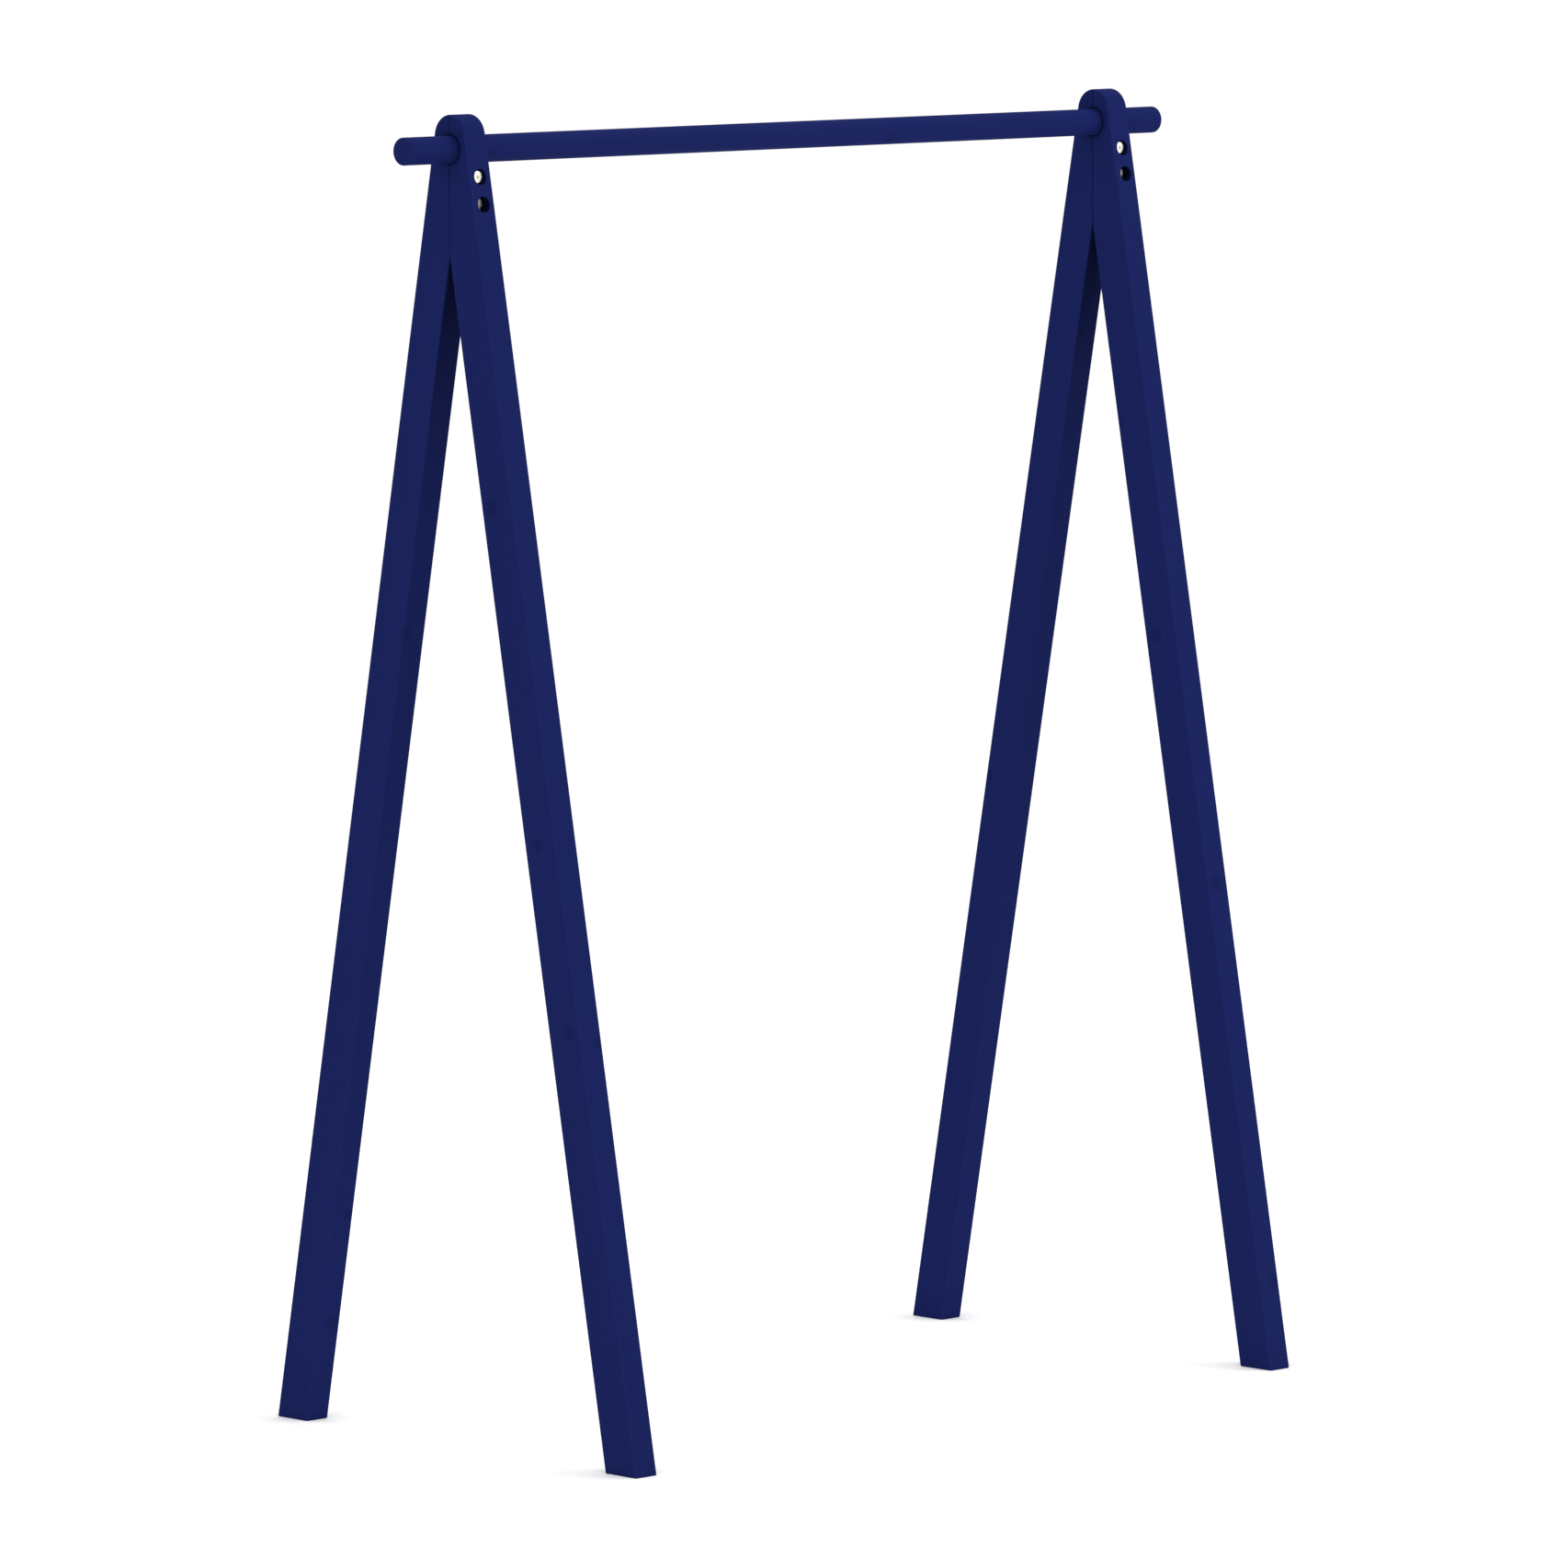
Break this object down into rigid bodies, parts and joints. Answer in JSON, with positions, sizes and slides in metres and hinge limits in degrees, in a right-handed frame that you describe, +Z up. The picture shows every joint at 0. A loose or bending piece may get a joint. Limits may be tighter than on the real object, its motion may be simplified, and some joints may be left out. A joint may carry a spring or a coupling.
{
  "type": "clothes rail",
  "caption": "Free-standing clothes rail: a round wooden rail through two bolted A-frames of rectangular timber legs, painted all over.",
  "frame": {"origin": "on the floor, midway between the four feet", "axes": "+Z up, +X along the rail towards the right-hand frame, +Y to the rear, away from the bolt heads"},
  "size_m": [1.2186, 0.5904, 1.5],
  "materials": {
    "painted_timber": "matt navy paint over planed pine, faint grain and knots",
    "painted_rail": "matt navy paint over a turned rod, faint long grain",
    "plated_steel": "bright zinc plate with a faint yellow tint"
  },
  "bodies": {
    "root": {"hanging_rail": "painted_rail", "left_front_leg": "painted_timber", "left_rear_leg": "painted_timber", "right_front_leg": "painted_timber", "right_rear_leg": "painted_timber", "left_upper_bolt": "plated_steel", "left_lower_bolt": "plated_steel", "right_upper_bolt": "plated_steel", "right_lower_bolt": "plated_steel", "left_upper_sleeve_nut": "plated_steel", "left_lower_sleeve_nut": "plated_steel", "right_upper_sleeve_nut": "plated_steel", "right_lower_sleeve_nut": "plated_steel"}
  },
  "joints": []
}
